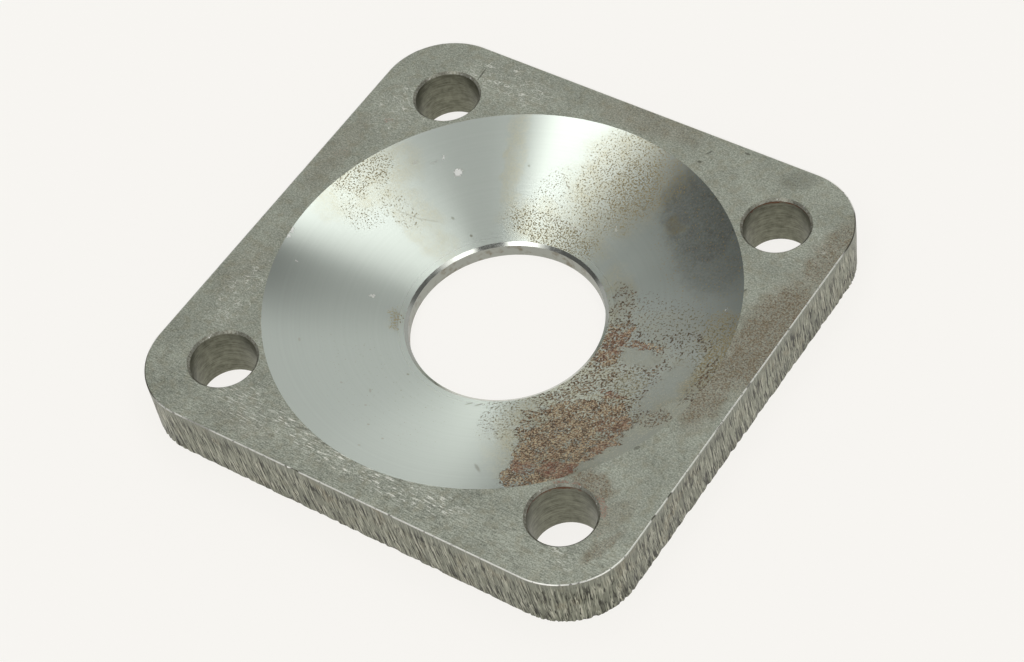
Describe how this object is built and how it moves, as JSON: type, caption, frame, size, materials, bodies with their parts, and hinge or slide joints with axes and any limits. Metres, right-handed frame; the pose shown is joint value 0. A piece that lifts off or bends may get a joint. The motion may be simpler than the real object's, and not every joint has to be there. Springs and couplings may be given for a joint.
{
  "type": "laser cut steel flange",
  "caption": "Square steel flange with rounded corners, a wide conical seat turned round its central bore, and a bolt hole in each corner.",
  "frame": {"origin": "centre of the bore at the flat underside", "axes": "+Z along the bore, up out of the conical seat; +X and +Y along the plate's sides"},
  "size_m": [0.09, 0.09, 0.01],
  "materials": {
    "steel": "dull mill face on top, fine turned cone, striated laser cut sides, light rust in the cone"
  },
  "bodies": {
    "root": {"flange": "steel"}
  },
  "joints": []
}
